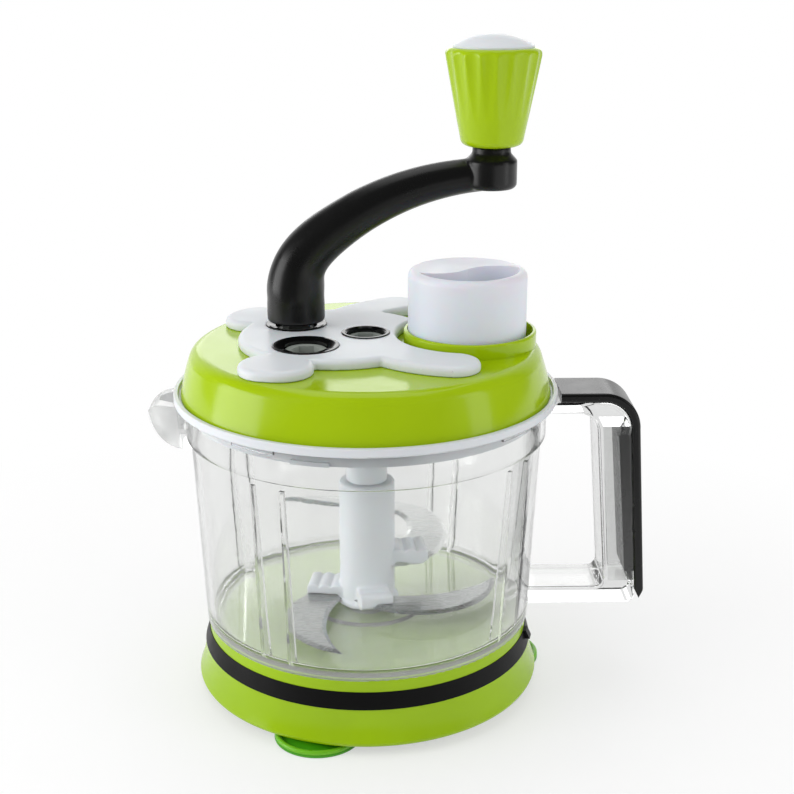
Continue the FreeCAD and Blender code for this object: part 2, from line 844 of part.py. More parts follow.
turned("pivot_pin", [
    (0, size.pin_low),
    (size.pin_radius, size.pin_low),
    (size.pin_radius, size.pin_top - size.bowl_edge),
    (size.pin_radius - size.bowl_edge, size.pin_top),
    (0, size.pin_top),
])

# Blades: two level blades and a longer tilted one, held in one column that turns on the pivot pin.

above(boss_top, "column_low")
above(size.column_low, "column_top", "blade_low_height", "blade_middle_height", "blade_upper_height")
below(inner_low, "blade_length", "sickle_tip_length")
above(size.column_top, "spindle_low")

blade_outline = [
    (size.blade_root, -size.blade_root_half, size.blade_outer_curve, 1),
    (size.blade_back, size.blade_length, size.blade_inner_curve, -1),
    (size.blade_root, size.blade_root_half),
]
sickle_outline = [
    (size.blade_root, -size.blade_root_half, size.sickle_bend_curve, 1),
    (size.sickle_bend, size.sickle_bend_length, size.sickle_back_curve, 1),
    (-size.sickle_tip_back, size.sickle_tip_length),
    (size.sickle_heel, size.sickle_heel_length, size.sickle_heel_curve, -1),
    (size.blade_root, size.blade_root_half),
]
blade_places = [
    ("lower_blade", blade_outline, size.blade_low_angle, size.blade_low_height, 0),
    ("middle_blade", blade_outline, size.blade_middle_angle, size.blade_middle_height, 0),
    ("upper_blade", sickle_outline, size.blade_upper_angle, size.blade_upper_height, size.sickle_tilt),
]
blades = []
for name, shape, angle, height, tilt in blade_places:
    blade = new_body(name)
    blade_sketch = outline(new_sketch(blade, "XY_Plane"), shape)
    blade_sketch.AttachmentOffset = Placement(Vector(0, 0, 0), Rotation(Vector(1, 0, 0), dim(tilt).value))
    bind(blade_sketch, "AttachmentOffset.Rotation.Angle", tilt)
    plate = extrude(blade, blade_sketch, size.blade_thick)
    bind(plate, "TaperAngle", -size.blade_bevel)
    place(blade, z=height, turn=angle)
    blades.append(blade)

column = doc.addObject("PartDesign::Body", "column_blank")
revolve(column, outline(new_sketch(column, "XZ_Plane"), [
    (0, size.column_low),
    (size.column_flange_radius, size.column_low),
    (size.column_flange_radius, size.column_low + size.column_flange_height),
    (size.column_radius, size.column_low + size.column_flange_height),
    (size.column_radius, size.column_top - size.bowl_edge, size.bowl_edge, 1),
    (size.column_radius - size.bowl_edge, size.column_top),
    (0, size.column_top),
]))
clamp_places = [
    (size.blade_low_angle, size.blade_low_height, size.clamp_reach),
    (size.blade_middle_angle, size.blade_middle_height, size.clamp_short_reach),
    (size.blade_upper_angle, size.blade_upper_height, size.clamp_reach),
]
for angle, height, reach in clamp_places:
    crest = height + size.clamp_over
    knuckles = [(reach - step * size.clamp_knuckle, crest, size.clamp_knuckle_radius, 1)
                for step in range(3)]
    clamp_sketch = outline(new_sketch(column, "XZ_Plane", turn=angle), [
        (size.column_radius / 2, height - size.clamp_under),
        (reach - size.clamp_knuckle / 2, height - size.clamp_under),
        (reach, height),
    ] + knuckles + [
        (reach - 3 * size.clamp_knuckle, crest),
        (size.column_radius / 2, crest),
    ])
    extrude(column, clamp_sketch, size.clamp_width, both=True)
hex_flats = size.spindle_hex_flats + size.spindle_hex_play
hex_depth = size.column_top - size.spindle_low + size.spindle_hex_length + 2 * size.spindle_hex_play
extrude(column, outline(new_sketch(column, "XY_Plane", z=size.column_top), hexagon(hex_flats)),
        hex_depth, "Pocket")
extrude(column, circle(new_sketch(column, "XY_Plane", z=size.column_low), 0, 0,
                       size.pin_radius + size.pin_fit),
        size.pin_top + size.column_lift - size.column_low, "Pocket", down=True)
for blade in blades:
    slotted = doc.addObject("Part::Cut", "slotted_column")
    slotted.Base = column
    slotted.Tool = blade
    column = slotted
keep(column, "blade_column")

# Lid: white base with ring and skirt, green cover and chute, lobed gear cover on top.

below(size.rim_height, "plate_low", "skirt_low")
above(size.rim_height, "ring_top", "ring_seat")
plate_top = size.plate_low + size.plate_thick
below(size.plate_low, "spindle_shoulder", "bush_low", "chute_low", "pusher_low")
above(plate_top, "lower_gear_low", "bush_flange_top")
above(size.bush_flange_top, "pinion_low")
above(size.lower_gear_low, "gear_pin_top", "spindle_peg_top", "spindle_screw_low")
above(size.lower_gear_low + size.gear_thick, "upper_gear_low")
above(size.upper_gear_low + size.gear_thick, "socket_floor")
above(size.socket_floor, "cover_top", "peg_low")
below(size.cover_top, "cover_shoulder_height")
above(size.cover_top, "chute_rim", "hub_top")
below(size.chute_rim, "chute_ledge")
above(size.chute_bore_radius, "chute_mouth_radius")
above(size.chute_mouth_radius, "chute_collar_radius")
above(size.centre_ring_radius + size.chute_collar_radius, "chute_offset")
pitch_drive = size.gear_module * size.drive_teeth / 2
pitch_fast = size.gear_module * size.fast_pinion_teeth / 2
pitch_side = size.gear_module * size.side_teeth / 2
pitch_slow = size.gear_module * size.slow_pinion_teeth / 2
drive_spot = polar(pitch_drive + pitch_fast, size.drive_angle)
side_spot = polar(pitch_side + pitch_slow, size.side_angle)
above(pitch_drive + pitch_fast, "screw_circle")
screw_angles = [size.screw_angle, 180 - size.screw_angle, 180 + size.screw_angle, -size.screw_angle]
screw_spots = [polar(size.screw_circle, angle) for angle in screw_angles]
chute_outer = size.chute_bore_radius + size.chute_wall

lid_base = turned("lid_base", [
    (0, size.plate_low),
    (size.skirt_radius - size.skirt_wall, size.plate_low),
    (size.skirt_radius - size.skirt_wall, size.skirt_low),
    (size.skirt_radius, size.skirt_low),
    (size.skirt_radius, size.rim_height),
    (size.ring_radius - size.ring_round, size.rim_height, size.ring_round, 1),
    (size.ring_radius, size.rim_height + size.ring_round),
    (size.ring_radius, size.ring_top - size.ring_round / 2, size.ring_round / 2, 1),
    (size.ring_radius - size.ring_round / 2, size.ring_top),
    (size.ring_radius - size.ring_lip, size.ring_top),
    (size.ring_radius - size.ring_lip - size.ring_round / 2, size.ring_seat),
    (size.skirt_radius, size.ring_seat),
    (size.skirt_radius, plate_top),
    (0, plate_top),
])
for spot in (drive_spot, side_spot):
    pin_boss = circle(new_sketch(lid_base, "XY_Plane", z=size.plate_low), spot[0], spot[1],
                      size.pin_boss_radius)
    extrude(lid_base, pin_boss, size.lower_gear_low - size.gear_seat_gap - size.plate_low)
lug_sketch = outline(new_sketch(lid_base, "XZ_Plane", turn=size.lug_angle), [
    (size.skirt_radius - size.skirt_wall / 2, size.skirt_low),
    (size.skirt_radius + size.lug_depth, size.skirt_low),
    (size.skirt_radius + size.lug_depth, size.skirt_low + size.lug_height),
    (size.skirt_radius - size.skirt_wall / 2, size.skirt_low + size.lug_height),
])
lug = revolve(lid_base, lug_sketch, sweep=size.lug_sweep)
repeat(lid_base, [lug], pin_boss, 4)
plate_holes = circle(new_sketch(lid_base, "XY_Plane", z=size.lower_gear_low), size.chute_offset, 0,
                     chute_outer + size.chute_gap)
circle(plate_holes, 0, 0, size.bush_radius)
for spot in (drive_spot, side_spot):
    circle(plate_holes, spot[0], spot[1], size.gear_pin_radius)
for spot in screw_spots:
    circle(plate_holes, spot[0], spot[1], size.screw_radius + size.gear_pin_fit)
extrude(lid_base, plate_holes, size.lower_gear_low - size.skirt_low + 1, "Pocket")

cover_under = size.cover_top - size.cover_wall
cover = turned("lid_cover", [
    (size.cover_radius - size.cover_wall, size.ring_seat),
    (size.cover_radius, size.ring_seat, size.cover_bulge, 1),
    (size.cover_shoulder_radius, size.cover_shoulder_height, size.cover_round, 1),
    (size.cover_flat_radius, size.cover_top),
    (0, size.cover_top),
    (0, cover_under),
    (size.cover_flat_radius - size.cover_wall / 2, cover_under, size.cover_round, -1),
    (size.cover_shoulder_radius - size.cover_wall, size.cover_shoulder_height - size.cover_wall / 2),
])
extrude(cover, circle(new_sketch(cover, "XY_Plane", z=size.cover_top), size.chute_offset, 0,
                      size.chute_collar_radius + size.chute_fit),
        size.cover_top - size.cover_shoulder_height, "Pocket")
cover_holes = circle(new_sketch(cover, "XY_Plane", z=size.cover_top), 0, 0,
                     size.pinion_hub_radius + size.hub_gap)
for spot in (drive_spot, side_spot):
    circle(cover_holes, spot[0], spot[1], size.hub_radius + size.hub_gap)
extrude(cover, cover_holes, size.cover_wall + 1, "Pocket")
for spot in screw_spots:
    boss_ring = circle(new_sketch(cover, "XY_Plane", z=plate_top), spot[0], spot[1], size.screw_boss_radius)
    extrude(cover, boss_ring, cover_under + size.cover_wall / 2 - plate_top)
    pilot = circle(new_sketch(cover, "XY_Plane", z=plate_top), spot[0], spot[1],
                   size.screw_radius + size.gear_pin_fit)
    extrude(cover, pilot, size.screw_depth + 2, "Pocket", down=True)

chute = turned("feed_chute", [
    (size.chute_bore_radius, size.chute_low),
    (chute_outer, size.chute_low),
    (chute_outer, size.chute_ledge - size.chute_wall),
    (size.chute_mouth_radius, size.chute_ledge - size.chute_wall),
    (size.chute_mouth_radius, size.cover_shoulder_height + size.chute_skirt),
    (size.chute_collar_radius, size.cover_shoulder_height + size.chute_skirt),
    (size.chute_collar_radius, size.chute_rim - size.ring_round, size.ring_round, 1),
    (size.chute_collar_radius - size.ring_round, size.chute_rim),
    (size.chute_mouth_radius, size.chute_rim),
    (size.chute_mouth_radius, size.chute_ledge),
    (size.chute_bore_radius, size.chute_ledge),
])
place(chute, size.chute_offset)

arm_inner = size.chute_collar_radius + size.arm_gap
arm_outer = arm_inner + size.arm_width
back_arm_inner = size.chute_collar_radius + size.back_arm_gap
back_arm_outer = back_arm_inner + size.arm_width


def about_chute(radius, angle):
    spot = polar(radius, angle)
    return (size.chute_offset + spot[0], spot[1])


above(distance((drive_spot[0] + size.gear_cover_offset, drive_spot[1])) + size.crank_ring_radius,
      "gear_cover_radius")
above(size.gear_cover_radius, "lobe_circle")
gear_cover = new_body("gear_cover")
extrude(gear_cover,
        circle(new_sketch(gear_cover, "XY_Plane", z=size.cover_top), -size.gear_cover_offset, 0,
               size.gear_cover_radius),
        size.gear_cover_thick)
extrude(gear_cover, outline(new_sketch(gear_cover, "XY_Plane", z=size.cover_top), [
    (size.chute_offset - arm_inner, 0, arm_inner, 1),
    about_chute(arm_inner, size.arm_tip_angle) + (size.arm_tip_curve, -1),
    about_chute(arm_outer, size.arm_tip_angle) + (arm_outer, -1),
    about_chute(arm_outer, size.arm_root_angle),
]), size.gear_cover_thick)
extrude(gear_cover, outline(new_sketch(gear_cover, "XY_Plane", z=size.cover_top), [
    about_chute(back_arm_inner, size.back_arm_root_angle) + (back_arm_inner, -1),
    about_chute(back_arm_inner, size.back_arm_tip_angle) + (size.arm_tip_curve, 1),
    about_chute(back_arm_outer, size.back_arm_tip_angle) + (back_arm_outer, 1),
    about_chute(back_arm_outer, size.back_arm_root_angle),
]), size.gear_cover_thick)


def in_lobe(reach, place_angle, turn, u, v):
    """A point of a lobe, given along and across its length; its middle is given from that of the disc."""
    middle = polar(reach, place_angle)
    along = polar(u, turn)
    across = polar(v, turn + 90)
    return (middle[0] + along[0] + across[0] - size.gear_cover_offset, middle[1] + along[1] + across[1])


lobe_end = size.lobe_half + size.lobe_radius
bend = (size.lobe_radius, 1)
lobe_places = [
    (size.lobe_circle, size.front_lobe_angle, size.front_lobe_turn),
    (size.lobe_circle - size.back_lobe_inset, size.back_lobe_angle, size.back_lobe_turn),
]
for lobe in lobe_places:
    extrude(gear_cover, outline(new_sketch(gear_cover, "XY_Plane", z=size.cover_top), [
        in_lobe(*lobe, -size.lobe_half, -size.lobe_radius),
        in_lobe(*lobe, size.lobe_half, -size.lobe_radius) + bend,
        in_lobe(*lobe, lobe_end, 0) + bend,
        in_lobe(*lobe, size.lobe_half, size.lobe_radius),
        in_lobe(*lobe, -size.lobe_half, size.lobe_radius) + bend,
        in_lobe(*lobe, -lobe_end, 0) + bend,
    ]), size.gear_cover_thick)
gear_cover_top = size.cover_top + size.gear_cover_thick
cover_cuts = circle(new_sketch(gear_cover, "XY_Plane", z=gear_cover_top), size.chute_offset, 0, arm_inner)
extrude(gear_cover, cover_cuts, size.gear_cover_thick + 1, "Pocket")
rings = [
    ("crank_socket_ring", drive_spot, size.crank_ring_radius, size.ring_throat, size.ring_rise),
    ("side_socket_ring", side_spot, size.side_ring_radius, size.ring_throat, size.ring_rise),
    ("centre_socket_ring", (0, 0), size.centre_ring_radius, size.centre_ring_throat, size.centre_ring_rise),
]
ring_cuts = new_sketch(gear_cover, "XY_Plane", z=gear_cover_top)
for name, spot, radius, throat, rise in rings:
    circle(ring_cuts, spot[0], spot[1], radius)
extrude(gear_cover, ring_cuts, size.gear_cover_thick + 1, "Pocket")
for name, spot, radius, throat, rise in rings:
    crown = gear_cover_top + rise
    ring = turned(name, [
        (throat, size.cover_top),
        (radius, size.cover_top),
        (radius, crown - size.ring_edge, size.ring_edge, 1),
        (radius - size.ring_edge, crown),
        (radius - size.ring_land, crown),
        (throat, crown - size.ring_dish),
    ])
    place(ring, spot[0], spot[1])

# Gear train: the crank socket drives the pinion fast, the side socket slower, the centre socket directly. On
# each wheel stands a hub with a hexagonal socket.


def tooth_angle(radius, pitch, teeth, base):
    """Half the angle of a tooth at one radius: an involute above the base circle, straight below it."""
    pressure = math.acos(base / pitch)
    here = math.acos(min(base / radius, 1.0))
    half = (math.pi * pitch / teeth - size.gear_play.value / 2) / (2 * pitch)
    return half + (math.tan(pressure) - pressure) - (math.tan(here) - here)


def toothed_wheel(teeth, low, thick, facing):
    """Spur wheel with one tooth centred on the facing angle."""
    module = size.gear_module.value
    pitch = module * teeth / 2
    base = pitch * math.cos(math.radians(20))
    root = pitch - 1.3 * module
    tip = pitch + 0.95 * module
    shoulder = max(base, root + 0.1 * module)
    radii = [root, shoulder, (shoulder + pitch) / 2, pitch, (pitch + tip) / 2, tip]
    points = []
    for tooth in range(teeth):
        middle = math.radians(facing + tooth * 360.0 / teeth)
        flank = [(radius, tooth_angle(max(radius, shoulder), pitch, teeth, base)) for radius in radii]
        side = [(radius, middle - half) for radius, half in flank]
        side += [(radius, middle + half) for radius, half in reversed(flank)]
        points += [Vector(radius * math.cos(angle), radius * math.sin(angle), low) for radius, angle in side]
    face = Part.Face(Part.makePolygon(points + points[:1]))
    return face.extrude(Vector(0, 0, thick))


def rod(radius, low, high):
    return Part.makeCylinder(radius.value, high.value - low.value, Vector(0, 0, low.value))


def hex_rod(flats, low, high):
    corners = [Vector(u.value, v.value, low.value) for u, v in hexagon(flats)]
    face = Part.Face(Part.makePolygon(corners + corners[:1]))
    return face.extrude(Vector(0, 0, high.value - low.value))


def shaped(name, shape, x=0, y=0):
    thing = keep(doc.addObject("Part::Feature", name), name)
    thing.Shape = shape
    place(thing, x, y)
    return thing


pin_bore = size.gear_pin_radius + size.gear_pin_fit
pin_room = size.gear_pin_top + size.gear_seat_gap
half_pitch = 180.0 / size.drive_teeth.value
drive_gear = toothed_wheel(int(size.drive_teeth.value), size.lower_gear_low.value, size.gear_thick.value,
                           size.drive_angle.value + 180 + half_pitch)
drive_gear = drive_gear.fuse(rod(size.hub_radius, size.lower_gear_low, size.socket_floor))
drive_gear = drive_gear.cut(rod(pin_bore, size.lower_gear_low - 1, pin_room))
shaped("drive_gear", drive_gear.removeSplitter(), drive_spot[0], drive_spot[1])

half_pitch = 180.0 / size.side_teeth.value
side_gear = toothed_wheel(int(size.side_teeth.value), size.upper_gear_low.value, size.gear_thick.value,
                          size.side_angle.value + 180 + half_pitch)
side_gear = side_gear.fuse(rod(size.hub_radius, size.upper_gear_low, size.socket_floor))
side_gear = side_gear.fuse(rod(size.side_boss_radius, size.lower_gear_low, size.upper_gear_low))
side_gear = side_gear.cut(rod(pin_bore, size.lower_gear_low - 1, pin_room))
shaped("side_gear", side_gear.removeSplitter(), side_spot[0], side_spot[1])

row_gap = size.upper_gear_low - size.lower_gear_low - size.gear_thick
upper_low = size.upper_gear_low - row_gap / 2
fast_row = toothed_wheel(int(size.fast_pinion_teeth.value), size.pinion_low.value,
                         upper_low.value - size.pinion_low.value, size.drive_angle.value)
slow_row = toothed_wheel(int(size.slow_pinion_teeth.value), upper_low.value,
                         size.gear_thick.value + row_gap.value / 2, size.side_angle.value)
pinion = fast_row.fuse(slow_row)
pinion = pinion.fuse(rod(size.pinion_hub_radius, size.upper_gear_low, size.socket_floor))
pinion = pinion.cut(rod(size.spindle_peg_radius, size.pinion_low - 1, size.spindle_peg_top))
pinion = pinion.cut(rod(size.spindle_screw_radius + size.gear_pin_fit, size.spindle_peg_top - 1,
                        size.socket_floor + 1))
shaped("centre_pinion", pinion.removeSplitter())

hubs = [
    ("drive_hub", size.hub_radius, drive_spot),
    ("side_hub", size.hub_radius, side_spot),
    ("centre_hub", size.pinion_hub_radius, (0, 0)),
]
for name, radius, spot in hubs:
    sleeve = rod(radius, size.socket_floor, size.hub_top)
    sleeve = sleeve.cut(hex_rod(size.socket_flats, size.socket_floor - 1, size.hub_top + 1))
    shaped(name, sleeve, spot[0], spot[1])

spindle = turned("drive_spindle", [
    (0, size.spindle_low),
    (size.spindle_radius, size.spindle_low),
    (size.spindle_radius, size.spindle_shoulder),
    (size.spindle_journal_radius, size.spindle_shoulder),
    (size.spindle_journal_radius, size.pinion_low),
    (size.spindle_peg_radius, size.pinion_low),
    (size.spindle_peg_radius, size.spindle_peg_top),
    (0, size.spindle_peg_top),
])
hex_sketch = outline(new_sketch(spindle, "XY_Plane", z=size.spindle_low - size.spindle_hex_length),
                     hexagon(size.spindle_hex_flats))
extrude(spindle, hex_sketch, size.spindle_hex_length + 1)
extrude(spindle, circle(new_sketch(spindle, "XY_Plane", z=size.spindle_peg_top), 0, 0,
                        size.spindle_screw_radius),
        size.spindle_peg_top - size.spindle_screw_low, "Pocket")

turned("spindle_bush", [
    (size.spindle_journal_radius + size.bush_fit, size.bush_low),
    (size.bush_radius, size.bush_low),
    (size.bush_radius, plate_top),
    (size.bush_flange_radius, plate_top),
    (size.bush_flange_radius, size.bush_flange_top),
    (size.spindle_journal_radius + size.bush_fit, size.bush_flange_top),
])

turned("spindle_screw", [
    (0, size.spindle_screw_low),
    (size.spindle_screw_radius, size.spindle_screw_low),
    (size.spindle_screw_radius, size.socket_floor),
    (size.spindle_screw_head_radius, size.socket_floor),
    (size.spindle_screw_head_radius, size.socket_floor + size.spindle_screw_head),
    (0, size.socket_floor + size.spindle_screw_head),
])


def cylinder(name, radius, low, high, spot):
    thing = doc.addObject("Part::Cylinder", name)
    bind(thing, "Radius", radius)
    bind(thing, "Height", dim(high) - low)
    place(thing, spot[0], spot[1], low)
    return thing


def group(name, things):
    bundle = keep(doc.addObject("Part::Compound", name), name)
    bundle.Links = things
    return bundle


group("gear_pins", [
    cylinder("gear_pin", size.gear_pin_radius, size.plate_low, size.gear_pin_top, spot)
    for spot in (drive_spot, side_spot)
])

screws = []
for spot in screw_spots:
    screw = doc.addObject("Part::Fuse", "lid_screw")
    screw.Base = cylinder("screw_shank", size.screw_radius, size.plate_low, plate_top + size.screw_depth, spot)
    screw.Tool = cylinder("screw_head", size.screw_head_radius, size.plate_low - size.screw_head,
                          size.plate_low, spot)
    screws.append(screw)
group("lid_screws", screws)

# Crank: a round arm that rises from the socket and bends outwards, with a boss for the knob.

above(gear_cover_top + size.ring_rise, "crank_low")
above(size.crank_low, "crank_bend_height", "peg_top")
above(size.crank_bend_height, "crank_boss_low")
above(size.crank_boss_low, "crank_boss_top", "axle_low")
above(size.crank_boss_top, "crank_neck_top")


def crank_path(share):
    """Reach, rise and lean of a tight bend and a wide sweep; share runs from 0 to 1."""
    bend = size.crank_bend_radius.value
    sweep = size.crank_sweep_radius.value
    first = math.radians(size.crank_bend_angle.value)
    second = math.radians(size.crank_sweep_angle.value)
    length = bend * first + sweep * second
    run = share * length
    lean = min(run / bend, first)
    out = bend * (1 - math.cos(lean))
    rise = bend * math.sin(lean)
    if run > bend * first:
        further = (run - bend * first) / sweep
        out += sweep * (math.cos(first) - math.cos(first + further))
        rise += sweep * (math.sin(first + further) - math.sin(first))
        lean = first + further
    return out, rise, lean


def round_section(out, height, lean, radius):
    normal = Vector(math.sin(lean), 0, math.cos(lean))
    return Part.Wire([Part.makeCircle(radius, Vector(out, 0, height), normal)])


section_count = 8
shares = [number / section_count for number in range(section_count + 1)]
line = [crank_path(share) for share in shares]
out, rise, lean = line[-1]
onward = size.crank_boss_radius.value * 0.8
shares.append(1.0)
line.append((out + onward * math.sin(lean), rise + onward * math.cos(lean), lean))
tip_height = size.crank_boss_low + size.crank_tip_rise
stretch = (size.crank_reach.value - size.crank_tip_gap.value) / line[-1][0]
lift = (tip_height.value - size.crank_bend_height.value) / line[-1][1]
foot_top = size.crank_bend_height - size.crank_blend
sections = [round_section(0, foot_top.value, 0, size.crank_radius.value)]
for share, (out, rise, lean) in zip(shares, line):
    slimmer = (size.crank_radius.value - size.crank_tip_radius.value) * share ** 0.7
    slope = math.atan2(stretch * math.sin(lean), lift * math.cos(lean))
    sections.append(round_section(out * stretch, size.crank_bend_height.value + rise * lift, slope,
                                  size.crank_radius.value - slimmer))
arm_shape = Part.makeLoft(sections, True, False)
foot_rod = rod(size.crank_radius, size.crank_low, foot_top)
foot_rod = foot_rod.makeChamfer(size.crank_edge.value / 2, [foot_rod.Edges[2]])
boss_profile = [
    (0.0, size.crank_boss_low.value),
    (size.crank_boss_radius.value - size.crank_edge.value, size.crank_boss_low.value),
    (size.crank_boss_radius.value, size.crank_boss_low.value + size.crank_edge.value),
    (size.crank_boss_radius.value, size.crank_boss_top.value),
    (size.crank_neck_radius.value, size.crank_boss_top.value + 2 * size.crank_edge.value),
    (size.crank_neck_radius.value, size.crank_neck_top.value),
    (0.0, size.crank_neck_top.value),
]


def spun(profile, x=0.0):
    """Solid of revolution about the vertical at x."""
    points = [Vector(x + radius, 0, height) for radius, height in profile]
    face = Part.Face(Part.makePolygon(points + points[:1]))
    return face.revolve(Vector(x, 0, 0), Vector(0, 0, 1), 360)


reach = size.crank_reach.value
crank = arm_shape.fuse([foot_rod, spun(boss_profile, reach)])
crank = crank.cut(hex_rod(size.peg_flats, size.crank_low - 1, size.peg_top))
axle_hole = rod(size.axle_radius, size.axle_low, size.crank_neck_top + 1)
axle_hole.translate(Vector(reach, 0, 0))
crank = crank.cut(axle_hole)
shaped("crank_arm", crank.removeSplitter(), drive_spot[0], drive_spot[1])

peg = keep(doc.addObject("Part::Prism", "crank_peg"), "crank_peg")
peg.Polygon = 6
bind(peg, "Circumradius", size.peg_flats / math.sqrt(3.0))
bind(peg, "Height", size.peg_top - size.peg_low)
place(peg, drive_spot[0], drive_spot[1], size.peg_low)

# Knob: a fluted grip that spins on a shoulder screw under a domed cap.

above(size.crank_neck_top, "knob_low")
above(size.knob_low, "knob_waist_height", "knob_top")
below(size.knob_top, "axle_head_low", "cap_low")
above(size.knob_top, "cap_edge")
above(size.cap_edge, "cap_top")
knob_x = drive_spot[0] + size.crank_reach
axle_head_top = size.axle_head_low + size.axle_head
axle = turned("knob_axle", [
    (0, size.axle_low),
    (size.axle_radius, size.axle_low),
    (size.axle_radius, size.axle_head_low),
    (size.axle_head_radius, size.axle_head_low),
    (size.axle_head_radius, axle_head_top),
    (0, axle_head_top),
])
place(axle, knob_x, drive_spot[1])

knob = turned("knob_grip", [
    (size.axle_radius + size.axle_fit, size.knob_low),
    (size.knob_low_radius - size.knob_round, size.knob_low, size.knob_round, 1),
    (size.knob_low_radius, size.knob_low + size.knob_round),
    (size.knob_waist_radius, size.knob_waist_height),
    (size.knob_top_radius, size.knob_top - size.knob_round, size.knob_round, 1),
    (size.knob_top_radius - size.knob_round, size.knob_top),
    (size.cap_radius, size.knob_top),
    (size.cap_radius, size.cap_low),
    (size.axle_head_radius + size.pusher_lift, size.cap_low),
    (size.axle_head_radius + size.pusher_lift, size.axle_head_low - size.axle_fit),
    (size.axle_radius + size.axle_fit, size.axle_head_low - size.axle_fit),
])
flute = knob.newObject("PartDesign::SubtractiveCylinder", "knob_flute")
knob_rise = size.knob_top - size.knob_waist_height
flute_lean = arc_tangent((size.knob_top_radius - size.knob_waist_radius - size.flute_depth) / knob_rise)
bind(flute, "Radius", size.flute_radius)
bind(flute, "Height", 2 * knob_rise)
flute.Placement = Placement(Vector(0, 0, 0), Rotation(Vector(0, 1, 0), flute_lean.value))
bind(flute, "Placement.Base.x", size.knob_waist_radius + size.flute_radius)
bind(flute, "Placement.Base.z", size.knob_waist_height)
bind(flute, "Placement.Rotation.Angle", flute_lean)
flutes = knob.newObject("PartDesign::PolarPattern", "knob_flutes")
flutes.Originals = [flute]
flutes.Axis = (origin_plane(knob, "Z_Axis"), [""])
flutes.Angle = 360
bind(flutes, "Occurrences", size.knob_flutes)
knob.Tip = flutes
place(knob, knob_x, drive_spot[1])

cap = turned("knob_cap", [
    (0, size.cap_low),
    (size.cap_radius, size.cap_low),
    (size.cap_radius, size.cap_edge, (size.cap_radius * size.cap_radius) / (
        2 * (size.cap_top - size.cap_edge)) + (size.cap_top - size.cap_edge) / 2, 1),
    (0, size.cap_top),
])
place(cap, knob_x, drive_spot[1])

# Pusher: a cup turned upside down that rests on the ledge in the chute, with a half round finger recess.

above(size.chute_rim, "pusher_top")
below(size.chute_mouth_radius, "pusher_radius")
below(size.pusher_radius, "recess_radius")
pusher_low_radius = size.chute_bore_radius - size.pusher_play
pusher_shoulder = size.chute_ledge + size.pusher_lift
recess_floor = size.pusher_top - size.recess_depth
pusher = turned("pusher", [
    (pusher_low_radius - size.pusher_wall, size.pusher_low),
    (pusher_low_radius, size.pusher_low),
    (pusher_low_radius, pusher_shoulder),
    (size.pusher_radius, pusher_shoulder),
    (size.pusher_radius, size.pusher_top - size.pusher_round, size.pusher_round, 1),
    (size.pusher_radius - size.pusher_round, size.pusher_top),
    (0, size.pusher_top),
    (0, recess_floor - size.pusher_wall),
    (pusher_low_radius - size.pusher_wall, recess_floor - size.pusher_wall),
])
recess_side = size.recess_radius - size.recess_edge / 2
extrude(pusher, outline(new_sketch(pusher, "XY_Plane", z=size.pusher_top, turn=size.recess_angle), [
    (size.recess_edge, -recess_side, size.recess_radius, 1),
    (size.recess_radius, 0, size.recess_radius, 1),
    (size.recess_edge, recess_side, size.recess_curve, 1),
    (0, 0, size.recess_curve, -1),
]), size.recess_depth, "Pocket")
place(pusher, size.chute_offset - size.pusher_shift)

doc.recompute()
for thing in doc.Objects:
    if "Invalid" in thing.State or "Error" in thing.State:
        raise RuntimeError("%s did not build" % thing.Label)
for thing in nodes:
    if thing.Shape.isNull() or not thing.Shape.isValid():
        raise RuntimeError("%s has no sound shape" % thing.Label)

os.makedirs("parts", exist_ok=True)
for thing in nodes:
    thing.Shape.exportStep("parts/%s.step" % thing.Label)
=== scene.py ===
import math

import bmesh
import bpy
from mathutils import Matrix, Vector
from mathutils.bvhtree import BVHTree
from mathutils.kdtree import KDTree


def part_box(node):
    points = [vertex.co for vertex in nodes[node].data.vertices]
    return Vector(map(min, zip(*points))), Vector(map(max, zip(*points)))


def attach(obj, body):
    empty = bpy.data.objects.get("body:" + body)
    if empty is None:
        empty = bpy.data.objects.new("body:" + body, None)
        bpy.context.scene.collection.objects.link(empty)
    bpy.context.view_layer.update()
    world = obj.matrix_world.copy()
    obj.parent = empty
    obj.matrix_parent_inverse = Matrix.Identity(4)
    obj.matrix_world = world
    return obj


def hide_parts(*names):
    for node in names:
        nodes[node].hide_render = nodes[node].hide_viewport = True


# Looks of a hand crank chopper, in metres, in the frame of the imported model.

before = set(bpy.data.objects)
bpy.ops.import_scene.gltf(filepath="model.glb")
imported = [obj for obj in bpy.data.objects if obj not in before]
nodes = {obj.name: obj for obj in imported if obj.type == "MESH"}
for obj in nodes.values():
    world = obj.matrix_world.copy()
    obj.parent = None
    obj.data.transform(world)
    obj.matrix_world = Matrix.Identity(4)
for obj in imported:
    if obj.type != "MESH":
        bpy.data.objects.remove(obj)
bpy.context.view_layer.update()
scene = bpy.context.scene

# Colours

SRGB_KNEE, SRGB_SLOPE = 0.04045, 12.92
SRGB_OFFSET, SRGB_POWER = 0.055, 2.4


def linear(red, green, blue):
    """Scene colour of a display colour given from 0 to 255."""
    colour = []
    for share in (red / 255, green / 255, blue / 255):
        if share <= SRGB_KNEE:
            colour.append(share / SRGB_SLOPE)
        else:
            colour.append(((share + SRGB_OFFSET) / (1 + SRGB_OFFSET)) ** SRGB_POWER)
    return colour + [1.0]


def shade(colour, factor):
    """The colour made darker or lighter."""
    return [min(value * factor, 1.0) for value in colour[:3]] + [1.0]


